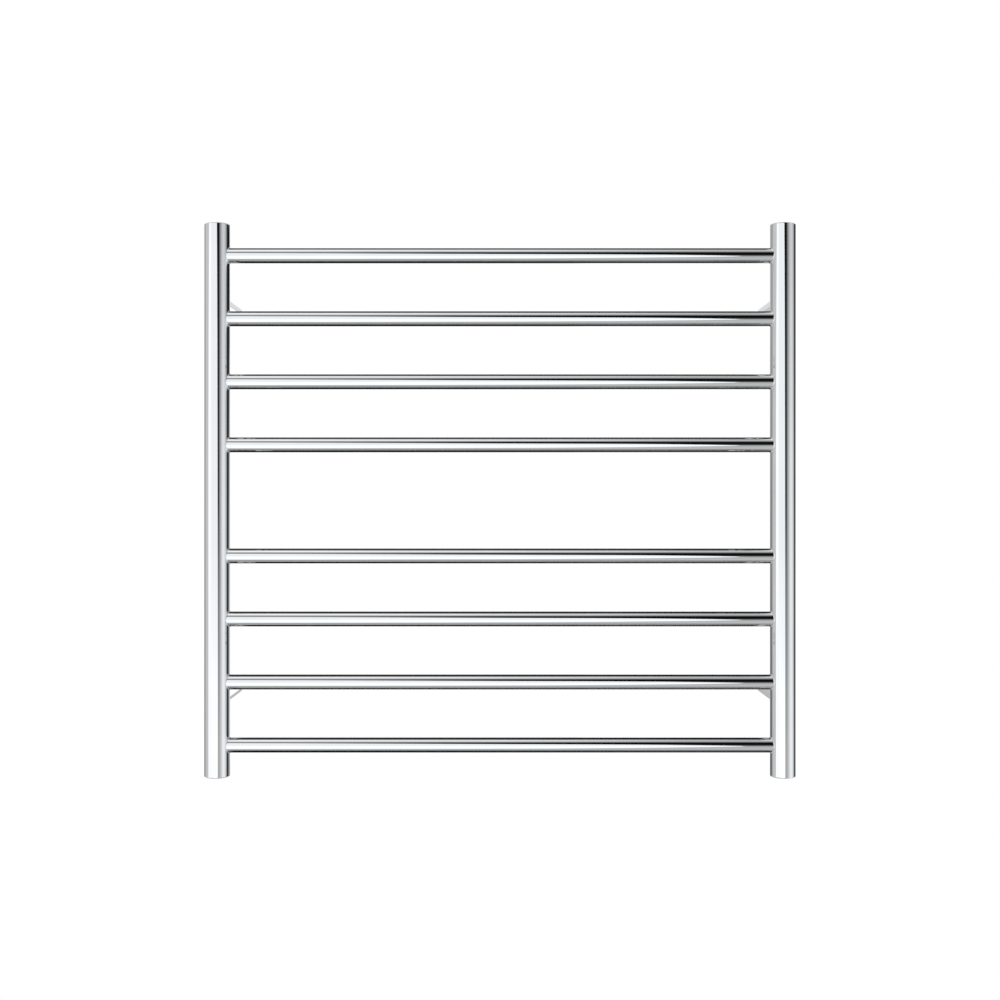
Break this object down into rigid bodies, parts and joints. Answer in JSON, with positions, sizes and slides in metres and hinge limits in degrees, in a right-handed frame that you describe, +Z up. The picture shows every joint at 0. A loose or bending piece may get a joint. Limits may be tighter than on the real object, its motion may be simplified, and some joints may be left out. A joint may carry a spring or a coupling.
{
  "type": "towel warmer rack",
  "caption": "Ladder-shaped electric towel rail: two round chrome posts joined by round horizontal bars in two groups, on short wall stand-offs, with concealed wiring.",
  "frame": {"origin": "on the wall plane, at the centre of the four wall screws", "axes": "+Z up, the front faces -Y, and +Y goes into the wall; +X is to the right as seen from the front"},
  "size_m": [0.75, 0.12, 0.7],
  "materials": {
    "polished_chrome": "mirror-polished chrome plate",
    "turned_steel": "plain turned stainless steel",
    "black_steel": "black oxide, slightly oily",
    "silicone_cover": "matt silicone rubber",
    "joint_sleeve": "woven glass-fibre sleeve",
    "tinned_can": "dull tinned metal",
    "blue_insulation": "extruded insulation",
    "brown_insulation": "extruded insulation",
    "green_insulation": "extruded insulation with a yellow stripe",
    "tinned_copper": "tinned copper",
    "black_rubber": "matt moulded rubber",
    "block_plastic": "moulded nylon",
    "bare_brass": "machined brass"
  },
  "bodies": {
    "root": {"left_post": "polished_chrome", "right_post": "polished_chrome", "bar_1": "polished_chrome", "bar_2": "polished_chrome", "bar_3": "polished_chrome", "bar_4": "polished_chrome", "bar_5": "polished_chrome", "bar_6": "polished_chrome", "bar_7": "polished_chrome", "bar_8": "polished_chrome", "upper_left_cap": "polished_chrome", "upper_right_cap": "polished_chrome", "lower_left_cap": "polished_chrome", "lower_right_cap": "polished_chrome", "upper_left_standoff": "polished_chrome", "upper_right_standoff": "polished_chrome", "lower_left_standoff": "polished_chrome", "lower_right_standoff": "polished_chrome", "upper_left_wall_boss": "turned_steel", "upper_right_wall_boss": "turned_steel", "lower_left_wall_boss": "turned_steel", "lower_right_wall_boss": "turned_steel", "grub_screws": "black_steel", "heating_cable": "silicone_cover", "hot_end_joint": "joint_sleeve", "thermal_cutout": "tinned_can", "return_lead": "blue_insulation", "start_joint": "joint_sleeve", "active_lead": "brown_insulation", "earth_stud": "turned_steel", "earth_lug": "tinned_copper", "earth_nut": "turned_steel", "earth_lead": "green_insulation", "lead_bush": "black_rubber", "terminal_block": "block_plastic", "terminal_clamps": "bare_brass", "terminal_screws": "bare_brass", "inlet_grommet": "black_rubber"}
  },
  "joints": []
}
